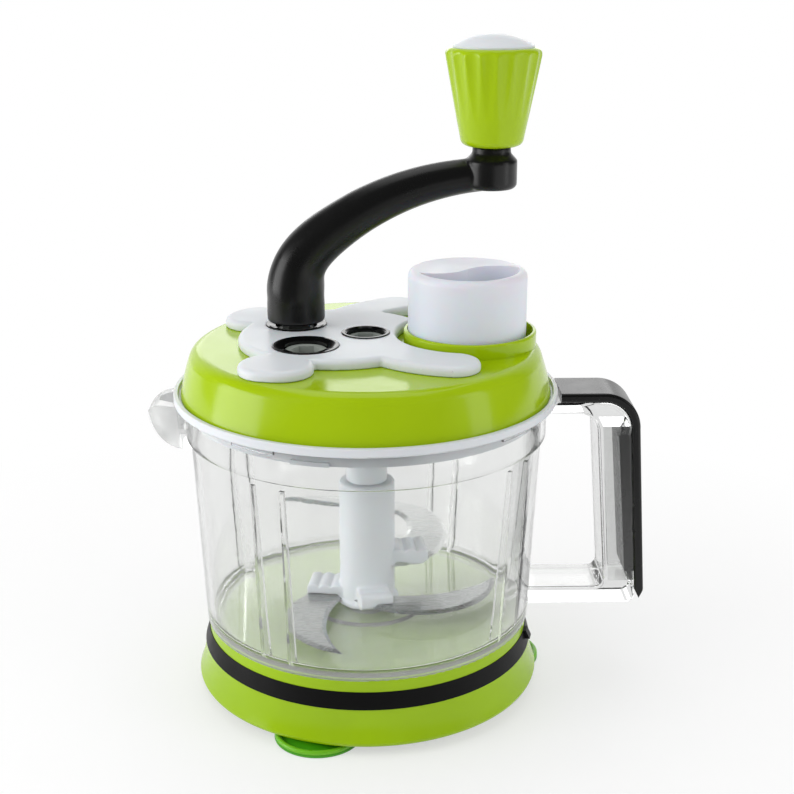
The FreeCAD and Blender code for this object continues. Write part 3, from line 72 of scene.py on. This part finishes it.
GREEN = linear(162, 192, 5)
BASE_GREEN = linear(152, 188, 6)
FOOT_GREEN = linear(66, 156, 8)
# painted highlight: the rolled lip is a lighter copy of the foot's green, for the light its rim
# catches
LIT_LIP_GREEN = linear(112, 188, 30)
WHITE = linear(218, 222, 226)
MILKY = linear(222, 226, 235)
BLACK = linear(8, 8, 8)
GREY = linear(150, 156, 150)
STEEL = linear(205, 207, 205)
BLADE_STEEL = linear(164, 166, 165)
# painted highlight: the upper blade's steel is a lighter copy of the blade steel, standing in for
# the reflections it catches
LIT_BLADE_STEEL = linear(246, 247, 246)
CLEAR_DARK = [0.89, 0.895, 0.89, 1.0]
CLEAR_LIGHT = [0.92, 0.925, 0.92, 1.0]
CLEAR_SHADOW = [0.985, 0.985, 0.985, 1.0]
FLOOR_WHITE = [0.97, 0.97, 0.97, 1.0]
SKY_WHITE = [1.0, 1.0, 1.0, 1.0]

# Materials

NOISE_LOW, NOISE_HIGH = 0.3, 0.7  # nearly all of a noise lies between these


class Graph:
    """A node tree and short ways to add nodes to it."""

    def __init__(self, tree, coordinates):
        self.tree = tree
        self.place = self.add("ShaderNodeTexCoord").outputs[coordinates]

    def add(self, kind, **settings):
        """A new node with the settings given."""
        node = self.tree.nodes.new(kind)
        for key, value in settings.items():
            setattr(node, key, value)
        return node

    def feed(self, socket, value):
        """Join an output to the socket, or set the socket to a plain value."""
        if isinstance(value, bpy.types.NodeSocket):
            self.tree.links.new(value, socket)
        else:
            socket.default_value = value

    def fill(self, node, **values):
        """Feed sockets by name, with _ in place of a blank."""
        for key, value in values.items():
            self.feed(node.inputs[key.replace("_", " ")], value)
        return node.outputs

    def line_up(self, node, *values):
        """Feed sockets in their order."""
        for socket, value in zip(node.inputs, values):
            self.feed(socket, value)
        return node.outputs

    def math(self, operation, *values):
        """The result of one step of arithmetic on values or outputs."""
        return self.line_up(self.add("ShaderNodeMath", operation=operation), *values)["Value"]

    def vector_math(self, operation, *values):
        """The outputs of one step of arithmetic on vectors."""
        return self.line_up(self.add("ShaderNodeVectorMath", operation=operation), *values)

    def ramp(self, source, start, end, low, high):
        """A value that goes from low to high as the source goes from start to end."""
        node = self.add("ShaderNodeMapRange")
        self.fill(node, From_Min=start, From_Max=end, To_Min=low, To_Max=high)
        return self.fill(node, Value=source)["Result"]

    def fade(self, share, low, high):
        """A value that goes from low to high as a share goes from 0 to 1."""
        return self.ramp(share, 0.0, 1.0, low, high)

    def spread(self, noise, low, high):
        """Noise spread over low to high."""
        return self.ramp(noise, NOISE_LOW, NOISE_HIGH, low, high)

    def mix(self, factor, first, second, kind="FLOAT"):
        """The first value where the factor is 0 and the second where it is 1."""
        node = self.add("ShaderNodeMix", data_type=kind)
        return self.fill(node, Factor=factor, A=first, B=second)["Result"]

    def mix_shader(self, factor, first, second):
        """The first shader where the factor is 0 and the second where it is 1."""
        return self.line_up(self.add("ShaderNodeMixShader"), factor, first, second)["Shader"]

    def along(self, axis):
        """Place along one axis."""
        return self.fill(self.add("ShaderNodeSeparateXYZ"), Vector=self.place)[axis]

    def scaled(self, factors):
        """The place with its axes scaled."""
        return self.fill(self.add("ShaderNodeMapping"), Vector=self.place, Scale=factors)["Vector"]

    def noise(self, scale, detail, stretch=None):
        """Noise over the surface, with a factor on each axis if stretch is given."""
        place = self.scaled(stretch) if stretch else self.place
        node = self.add("ShaderNodeTexNoise")
        return self.fill(node, Vector=place, Scale=scale, Detail=detail)["Fac"]

    def rays(self):
        """The kinds of ray that may reach the surface."""
        return self.add("ShaderNodeLightPath").outputs


class Paint(Graph):
    """A material with one Principled shader."""

    def __init__(self, name):
        self.material = bpy.data.materials.new(name)
        self.material.use_nodes = True
        super().__init__(self.material.node_tree, "Object")
        self.shader = self.tree.nodes["Principled BSDF"]

    def set(self, **values):
        """Feed the shader's sockets by name."""
        self.fill(self.shader, **values)

    def tones(self, noise, dark, light):
        """Colour that drifts between two tones."""
        return self.mix(self.spread(noise, 0.0, 1.0), dark, light, "RGBA")

    def relief(self, source, height, strength=1.0):
        """Bumps of a height in metres."""
        bump = self.add("ShaderNodeBump")
        self.fill(bump, Height=source, Distance=height, Strength=strength)
        self.set(Normal=bump.outputs["Normal"])

    def blend(self, factor, other):
        """Show the other shader where the factor is 1."""
        surface = self.mix_shader(factor, self.shader.outputs["BSDF"], other)
        self.fill(self.tree.nodes["Material Output"], Surface=surface)


def moulded(name, colour, rough, drift=0.05, peel=2e-5, grain=260.0, gloss=0.5, glow=None):
    """Moulded plastic: a slow drift of tone, uneven roughness and a faint orange peel.

    glow gives the weight and the depth of the light that goes under the surface.
    """
    paint = Paint(name)
    drifting = paint.noise(scale=22.0, detail=4.0)
    uneven = paint.noise(scale=70.0, detail=5.0)
    paint.set(
        Base_Color=paint.tones(drifting, shade(colour, 1 - drift), shade(colour, 1 + drift)),
        Roughness=paint.spread(uneven, *rough),
        Specular_IOR_Level=gloss,
    )
    paint.relief(paint.noise(scale=grain, detail=2.0), peel)
    if glow:
        paint.set(Subsurface_Weight=glow[0], Subsurface_Scale=glow[1])
    return paint


LINE_DARK, LINE_LIGHT = 0.96, 1.03
LINE_DEPTH, LINE_STRENGTH = 1e-5, 0.6


def brushed(name, colour, rough, stretch):
    """Steel with fine lines along the axis with the smallest factor in stretch."""
    paint = Paint(name)
    lines = paint.noise(scale=1.0, detail=6.0, stretch=stretch)
    paint.set(
        Base_Color=paint.tones(lines, shade(colour, LINE_DARK), shade(colour, LINE_LIGHT)),
        Roughness=paint.spread(lines, *rough),
        Metallic=1.0,
    )
    paint.relief(lines, LINE_DEPTH, LINE_STRENGTH)
    return paint


green = moulded("lid_green", GREEN, rough=(0.12, 0.2), gloss=0.4)
base_green = moulded("base_green", BASE_GREEN, rough=(0.16, 0.26), gloss=0.35)
knob_green = moulded("knob_green", GREEN, rough=(0.14, 0.22), gloss=0.4)
foot_green = moulded("foot_green", FOOT_GREEN, rough=(0.34, 0.5), drift=0.06, peel=4e-5,
                     grain=420.0, glow=(0.15, 0.004))
# painted highlight: a lighter copy of the foot rubber, for the rolled lip
lit_lip_green = moulded("lit_lip_green", LIT_LIP_GREEN, rough=(0.26, 0.36), drift=0.06, peel=3e-5,
                    grain=420.0, glow=(0.15, 0.003))
white = moulded("white_plastic", WHITE, rough=(0.3, 0.4), drift=0.02, peel=4e-6, gloss=0.3,
                glow=(0.1, 0.003))
milky = moulded("milky_plastic", MILKY, rough=(0.28, 0.42), drift=0.025, gloss=0.35,
                glow=(0.45, 0.008))
black = moulded("black_plastic", BLACK, rough=(0.26, 0.36), drift=0.2, grain=300.0)
grip_black = moulded("grip_black", BLACK, rough=(0.22, 0.3), drift=0.2, peel=8e-6, grain=700.0,
                     gloss=0.45)
band_black = moulded("band_black", BLACK, rough=(0.38, 0.52), drift=0.2, peel=4e-5, grain=900.0,
                     gloss=0.2)
ring_black = moulded("ring_black", BLACK, rough=(0.08, 0.14), drift=0.2, gloss=0.4)
grey = moulded("gear_grey", GREY, rough=(0.38, 0.5), drift=0.04)

BLADE_LINES = (90.0, 2600.0, 2600.0)
PIN_LINES = (40.0, 40.0, 2400.0)

# painted highlight: a lighter copy of the blade steel for the upper blade
lit_blade_steel = brushed("lit_blade_steel", LIT_BLADE_STEEL, rough=(0.2, 0.32), stretch=BLADE_LINES)
blade_steel = brushed("blade_steel", BLADE_STEEL, rough=(0.2, 0.32), stretch=BLADE_LINES)
pin_steel = brushed("pin_steel", STEEL, rough=(0.24, 0.4), stretch=PIN_LINES)

CLEAR_IOR = 1.49
CLEAR_ROUGH = (0.02, 0.06)
CLEAR_WAVES = 3e-5
CLEAR_SHARE = 0.99     # light that goes through the plain wall
FLOOR_SHARE = 0.84     # through the bowl's floor
FROST_SHARE = 0.6      # through the frosted spout
FROST_ROUGH = 0.2
HANDLE_SHADE = 0.86     # painted shade: tone of spout and handle against the wall's, darker for their shading
FLOOR_RISE = 0.002     # the bowl's floor over the top of the base
HAZE_START, HAZE_END = 0.0005, 0.003
WALL_REACH = 0.073     # the wall's radius at the height of 0, and how it grows with height
WALL_LEAN = 0.07
WALL_BLEND = 0.002
SPOUT_BLEND = 0.01     # the spout is on the side of -X


def clear_plastic():
    """Clear plastic, hazy at the bowl's floor and frosted at the spout, with painted shade past
    its wall: spout and handle are coloured darker.
    """
    paint = Paint("clear_plastic")
    paint.relief(paint.noise(scale=90.0, detail=2.0), CLEAR_WAVES)
    height = paint.along("Z")
    bowl_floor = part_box("base_shell")[1][2] + FLOOR_RISE
    haze = paint.ramp(height, bowl_floor + HAZE_START, bowl_floor + HAZE_END,
                      FLOOR_SHARE, CLEAR_SHARE)

    level = paint.vector_math("MULTIPLY", paint.place, (1.0, 1.0, 0.0))["Vector"]
    reach = paint.vector_math("LENGTH", level)["Value"]
    outward = paint.math("MULTIPLY_ADD", height, -WALL_LEAN, reach)
    past_wall = paint.ramp(outward, WALL_REACH, WALL_REACH + WALL_BLEND, 0.0, 1.0)
    left = paint.ramp(paint.along("X"), -SPOUT_BLEND, SPOUT_BLEND, 1.0, 0.0)
    spout = paint.math("MULTIPLY", past_wall, left)

    # painted shade: past the wall, on spout and handle, the colour is darkened
    shaded_tone = paint.add("ShaderNodeVectorMath", operation="SCALE")
    tone = paint.tones(paint.noise(scale=30.0, detail=3.0), CLEAR_DARK, CLEAR_LIGHT)
    paint.fill(shaded_tone, Vector=tone, Scale=paint.fade(past_wall, 1.0, HANDLE_SHADE))
    rough = paint.spread(paint.noise(scale=120.0, detail=4.0), *CLEAR_ROUGH)
    paint.set(
        Base_Color=shaded_tone.outputs["Vector"],
        Transmission_Weight=paint.math("MINIMUM", haze,
                                       paint.fade(spout, CLEAR_SHARE, FROST_SHARE)),
        Roughness=paint.math("ADD", rough, paint.fade(spout, 0.0, FROST_ROUGH)),
        IOR=CLEAR_IOR,
    )
    open_way = paint.fill(paint.add("ShaderNodeBsdfTransparent"), Color=CLEAR_SHADOW)["BSDF"]
    paint.blend(paint.rays()["Is Shadow Ray"], open_way)
    return paint


clear = clear_plastic()

PAINTS = [
    (green, ["lid_cover", "feed_chute"]),
    (base_green, ["base_shell"]),
    (knob_green, ["knob_grip"]),
    (foot_green, ["suction_foot_right", "suction_foot_back", "suction_foot_front"]),
    (white, ["lid_base", "gear_cover", "knob_cap", "blade_column", "drive_spindle"]),
    (milky, ["pusher"]),
    (black, ["crank_arm"]),
    (grip_black, ["handle_grip"]),
    (band_black, ["base_band"]),
    (ring_black, ["crank_socket_ring", "side_socket_ring", "centre_socket_ring"]),
    (grey, ["drive_gear", "side_gear", "centre_pinion", "spindle_bush"]),
    (grey, ["drive_hub", "side_hub", "centre_hub"]),
    (blade_steel, ["lower_blade", "middle_blade"]),
    # painted highlight: the upper blade gets the lighter copy of the blade steel
    (lit_blade_steel, ["upper_blade"]),
    (pin_steel, ["pivot_pin", "gear_pins", "crank_peg"]),
    (pin_steel, ["knob_axle", "spindle_screw", "lid_screws"]),
    (clear, ["bowl"]),
]
for paint, names in PAINTS:
    for name in names:
        for slot in nodes[name].material_slots:
            slot.material = paint.material

# Pieces with softly rounded edges, made from copies of the solids.

SMOOTHING = 0.5        # how far one pass draws a point to the middle of its neighbours
SAME_POINT = 1e-6
SAME_HEIGHT = 1e-5
UPRIGHT, LEVEL = 0.1, 0.9  # a face is upright or level if its normal's Z is under or over these
EDGE_STEP = 0.0003
COVER_ROUND = 0.0024   # radius of the gear cover's upper edge
COVER_WELD = 0.0002
COVER_PASSES = 4
COVER_TOP = 0.6        # the cover's upper side: where the normal's Z is over this
KNOB_CORE = 0.011      # the knob's bore and what is round it lie within this radius
BORE_EASE = 0.0003


def linked(name, data):
    """A new object in the scene."""
    item = bpy.data.objects.new(name, data)
    scene.collection.objects.link(item)
    return item


def remeshed(name, node, voxel, passes):
    """An even mesh of a node's shape, smoothed a few times."""
    piece = linked(name, nodes[node].data.copy())
    remesh = piece.modifiers.new("remesh", "REMESH")
    remesh.mode = "VOXEL"
    remesh.voxel_size = voxel
    soften = piece.modifiers.new("soften", "SMOOTH")
    soften.factor = SMOOTHING
    soften.iterations = passes
    bpy.context.view_layer.update()
    result = piece.evaluated_get(bpy.context.evaluated_depsgraph_get())
    shape = bpy.data.meshes.new_from_object(result)
    piece.modifiers.clear()
    piece.data = shape
    return piece


def stand_in(piece, node, body, paint):
    """Show the piece in the node's place."""
    piece.data.shade_smooth()
    piece.data.materials.clear()
    piece.data.materials.append(paint.material)
    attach(piece, body)
    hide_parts(node)


def turns_down(edge):
    """Whether the edge lies between a level face and an upright one."""
    slopes = sorted(abs(face.normal.z) for face in edge.link_faces)
    return len(slopes) == 2 and slopes[0] < UPRIGHT and slopes[1] > LEVEL


def length_of(loop):
    """Length of a line of points."""
    return sum((one - other).length for one, other in zip(loop, loop[1:]))


def outer_edge(node):
    """Points along the longest loop of edges between a node's level top and its upright sides."""
    solid = bmesh.new()
    solid.from_mesh(nodes[node].data)
    bmesh.ops.remove_doubles(solid, verts=solid.verts, dist=SAME_POINT)
    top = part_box(node)[1][2]
    links = {}
    for edge in solid.edges:
        if turns_down(edge) and edge.verts[0].co.z > top - SAME_HEIGHT:
            for one, other in (edge.verts, reversed(edge.verts)):
                links.setdefault(one, []).append(other)
    loops = []
    while links:
        loop = [next(iter(links))]
        while loop[-1] in links:
            ahead = [vert for vert in links.pop(loop[-1]) if vert in links]
            if ahead:
                loop.append(ahead[0])
        loops.append([vert.co.copy() for vert in loop])
    solid.free()
    longest = max(loops, key=length_of)
    points = []
    for start, end in zip(longest, longest[1:] + longest[:1]):
        count = max(1, round((end - start).length / EDGE_STEP))
        points += [start.lerp(end, index / count) for index in range(count)]
    return points


def round_cover(piece):
    """Round the upper outer edge of the gear cover's mesh."""
    edge_points = outer_edge("gear_cover")
    near_edge = KDTree(len(edge_points))
    for index, point in enumerate(edge_points):
        near_edge.insert((point.x, point.y, 0.0), index)
    near_edge.balance()
    cover_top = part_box("gear_cover")[1][2]
    shoulder = cover_top - COVER_ROUND

    def crown(point):
        """Height of the rounded cover over a point of its plan."""
        inset = near_edge.find((point.x, point.y, 0.0))[2]
        short = max(0.0, COVER_ROUND - inset)
        return shoulder + math.sqrt(COVER_ROUND ** 2 - short ** 2)

    shape = bmesh.new()
    shape.from_mesh(piece.data)
    for vert in shape.verts:
        vert.co.z = min(vert.co.z, crown(vert.co))
    bmesh.ops.remove_doubles(shape, verts=shape.verts, dist=COVER_WELD)
    for turn in range(COVER_PASSES):
        bmesh.ops.smooth_vert(shape, verts=shape.verts, factor=SMOOTHING,
                              use_axis_x=True, use_axis_y=True, use_axis_z=True)
    shape.normal_update()
    for vert in shape.verts:
        if vert.normal.z > COVER_TOP and vert.co.z > shoulder:
            vert.co.z = crown(vert.co)
    shape.to_mesh(piece.data)
    shape.free()


def keep_core(piece, node, reach):
    """Put what lies near the upright axis back on the solid, with its bore a little eased."""
    low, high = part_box(node)
    middle = (low + high) / 2
    solid = nodes[node].data
    corners = [vert.co for vert in solid.vertices]
    skin = BVHTree.FromPolygons(corners, [face.vertices for face in solid.polygons])
    for vert in piece.data.vertices:
        away = Vector((vert.co.x - middle.x, vert.co.y - middle.y, 0.0))
        if away.length < reach:
            vert.co = skin.find_nearest(vert.co)[0] + away.normalized() * BORE_EASE


cover_soft = remeshed("gear_cover_soft", "gear_cover", voxel=0.0005, passes=3)
round_cover(cover_soft)
stand_in(cover_soft, "gear_cover", "lid", white)

column_soft = remeshed("blade_column_soft", "blade_column", voxel=0.0005, passes=10)
stand_in(column_soft, "blade_column", "blades", white)

knob_soft = remeshed("knob_grip_soft", "knob_grip", voxel=0.0004, passes=14)
keep_core(knob_soft, "knob_grip", KNOB_CORE)
stand_in(knob_soft, "knob_grip", "knob", knob_green)

arm_soft = remeshed("crank_arm_soft", "crank_arm", voxel=0.0005, passes=12)
stand_in(arm_soft, "crank_arm", "crank", black)

# Rolled lips of the suction feet

LIP_ROUND = 0.0012     # radius of the roll
LIP_HEIGHT = 0.0017    # of the roll's middle over the table
LIP_STEPS = 96
LIP_SIDES = 16


def circle(count):
    """Cosine and sine of even steps round a full turn."""
    turns = [2 * math.pi * step / count for step in range(count)]
    return [(math.cos(turn), math.sin(turn)) for turn in turns]


def rolled_lip(name, node):
    """A rolled rubber lip round the rim of a suction foot."""
    low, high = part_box(node)
    middle = (low + high) / 2
    reach = (high.x - low.x) / 2 - LIP_ROUND
    shape = bmesh.new()
    rows = []
    for along_x, along_y in circle(LIP_STEPS):
        row = []
        for outward, upward in circle(LIP_SIDES):
            out = reach + LIP_ROUND * outward
            height = LIP_HEIGHT + LIP_ROUND * upward
            spot = (middle.x + out * along_x, middle.y + out * along_y, height)
            row.append(shape.verts.new(spot))
        rows.append(row)
    for row, after in zip(rows, rows[1:] + rows[:1]):
        for side in range(LIP_SIDES):
            ahead = (side + 1) % LIP_SIDES
            shape.faces.new((row[side], after[side], after[ahead], row[ahead]))
    mesh = bpy.data.meshes.new(name)
    shape.to_mesh(mesh)
    shape.free()
    mesh.shade_smooth()
    # painted highlight: the lip gets the lighter copy of the foot's green
    mesh.materials.append(lit_lip_green.material)
    piece = linked(name, mesh)
    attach(piece, "base")


for place in ("right", "back", "front"):
    rolled_lip("foot_lip_" + place, "suction_foot_" + place)

# Stage: a white floor that keeps a soft shadow, white surroundings and large soft lamps.

scene.view_settings.view_transform = "Standard"

FLOOR_SIZE = 6.0
FLOOR_DROP = 0.0003    # under the feet
FLOOR_ROUGH = 0.7
NEAR_FALL = 2.2        # nearness is 1 under the object and falls by this with every metre
SHINE_FAR, SHINE_NEAR = 0.2, 0.75  # nearness where the floor's own light is full, and least
SHINE_LEAST = 0.55

bpy.ops.mesh.primitive_plane_add(size=FLOOR_SIZE, location=(0.0, 0.0, -FLOOR_DROP))
floor = bpy.context.object
floor.name = "floor"


def floor_white():
    """White that takes a shadow near the object and shines by itself farther off."""
    paint = Paint("floor_white")
    paint.set(Base_Color=FLOOR_WHITE, Roughness=FLOOR_ROUGH)
    rays = paint.rays()
    seen = paint.math("MAXIMUM", rays["Is Camera Ray"], rays["Is Glossy Ray"])
    seen = paint.math("MAXIMUM", seen, rays["Is Transmission Ray"])
    gradient = paint.add("ShaderNodeTexGradient", gradient_type="SPHERICAL")
    near = paint.fill(gradient, Vector=paint.scaled([NEAR_FALL] * 3))["Fac"]
    own_light = paint.ramp(near, SHINE_FAR, SHINE_NEAR, 1.0, SHINE_LEAST)
    # In reflections the floor is darker in front, apart from a stretch on the right.
    front = paint.ramp(paint.along("Y"), start=-0.5, end=0.05, low=0.15, high=1.0)
    right = paint.ramp(paint.along("X"), start=0.12, end=0.26, low=0.0, high=0.9)
    strength = paint.mix(rays["Is Glossy Ray"], 1.0, paint.math("MAXIMUM", front, right))
    shine = paint.fill(paint.add("ShaderNodeEmission"), Strength=strength)["Emission"]
    paint.blend(paint.math("MULTIPLY", seen, own_light), shine)
    return paint


floor.data.materials.append(floor_white().material)

SKY_LIGHT = 0.5        # strength that lights the object
SKY_SEEN = 1.0         # strength in the picture and through clear plastic

world = bpy.data.worlds.new("studio")
scene.world = world
world.use_nodes = True
sky = Graph(world.node_tree, "Generated")
sky_rays = sky.rays()
# In reflections the surroundings are dark, apart from the far end.
mirrored = sky.ramp(sky.along("Y"), start=0.5, end=0.88, low=0.12, high=1.0)
strength = sky.mix(sky_rays["Is Glossy Ray"], SKY_LIGHT, mirrored)
strength = sky.mix(sky_rays["Is Transmission Ray"], strength, SKY_SEEN)
strength = sky.mix(sky_rays["Is Camera Ray"], strength, SKY_SEEN)
sky.fill(sky.tree.nodes["Background"], Color=SKY_WHITE, Strength=strength)


def softbox(name, place, aim_height, size, power, reflected=True):
    """A soft lamp that is aimed at the object's axis and can't be seen itself."""
    lamp = bpy.data.lights.new(name, "AREA")
    lamp.shape = "RECTANGLE"
    lamp.size, lamp.size_y = size
    lamp.energy = power
    holder = linked(name, lamp)
    holder.location = place
    holder.visible_camera = False
    holder.visible_glossy = reflected
    aim = Vector((0.0, 0.0, aim_height)) - Vector(place)
    holder.rotation_euler = aim.to_track_quat("-Z", "Y").to_euler()


softbox("key", (-0.95, -0.5, 0.7), 0.12, size=(0.7, 0.9), power=4.8, reflected=False)
softbox("fill", (0.95, -0.45, 0.45), 0.12, size=(0.6, 0.9), power=2.6, reflected=False)
softbox("top", (0.0, 0.3, 1.2), 0.15, size=(0.9, 0.9), power=2.6)
softbox("back", (0.0, 1.2, 0.47), 0.2, size=(1.0, 0.3), power=1.3)
softbox("left_panel", (-0.9, -0.12, 0.3), 0.2, size=(0.6, 0.5), power=3.0)
softbox("right_strip", (0.8, -0.3, 0.35), 0.16, size=(0.24, 0.6), power=0.6)

# Camera, fitted to edges measured in the photo.

SENSOR_WIDTH = 36.0
PHOTO_WIDTH = 794      # pixels
FOCAL_LENGTH = 1418.328  # pixels
CAMERA_PLACE = (0.0, -0.602975, 0.330895)
LOOK_DOWN = 18.0075    # degrees
LOOK_RIGHT = 1.3076    # degrees

eye = bpy.data.cameras.new("photo_camera")
eye.sensor_width = SENSOR_WIDTH
eye.lens = SENSOR_WIDTH * FOCAL_LENGTH / PHOTO_WIDTH
camera = linked("photo_camera", eye)
camera.location = CAMERA_PLACE
camera.rotation_euler = (math.radians(90 - LOOK_DOWN), 0.0, math.radians(-LOOK_RIGHT))
scene.camera = camera
